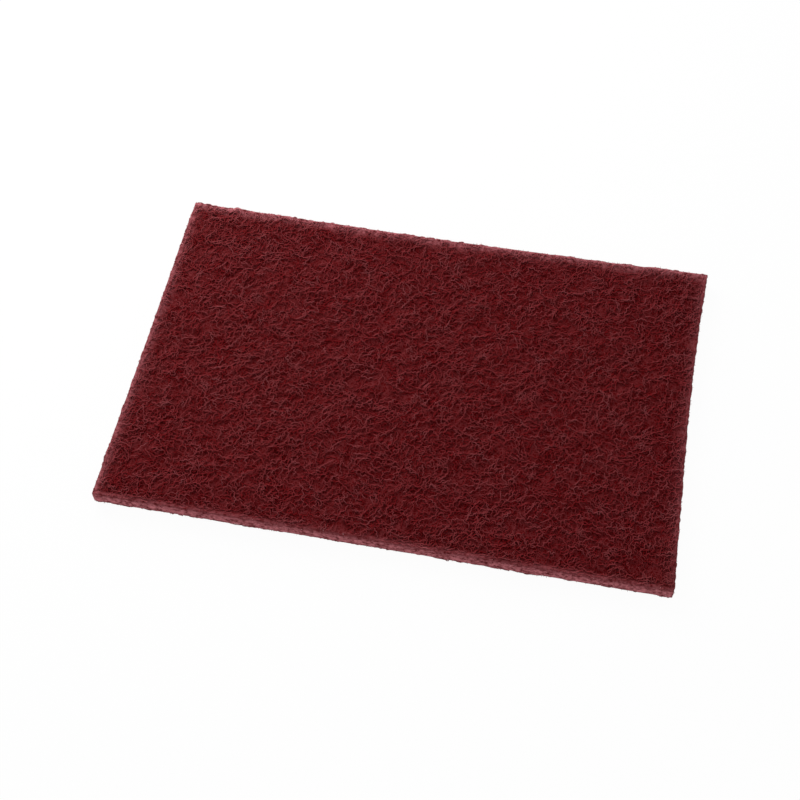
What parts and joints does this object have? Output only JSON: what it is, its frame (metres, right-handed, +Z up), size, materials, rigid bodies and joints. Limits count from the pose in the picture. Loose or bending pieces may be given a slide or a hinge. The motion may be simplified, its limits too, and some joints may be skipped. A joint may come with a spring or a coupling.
{
  "type": "nylon scouring pad",
  "caption": "Thin flat rectangular pad of matted, crimped nylon fibres for scouring and rubbing down by hand; a single flexible maroon piece with four cut sides.",
  "frame": {"origin": "middle of the underside, on the surface that the pad lies on", "axes": "+X along the pad's length, +Y along its width and away from the camera in the picture, +Z up through its thickness"},
  "size_m": [0.2286, 0.1523, 0.008],
  "materials": {
    "nylon_web": "matte"
  },
  "bodies": {
    "root": {"scouring_pad": "nylon_web"}
  },
  "joints": []
}
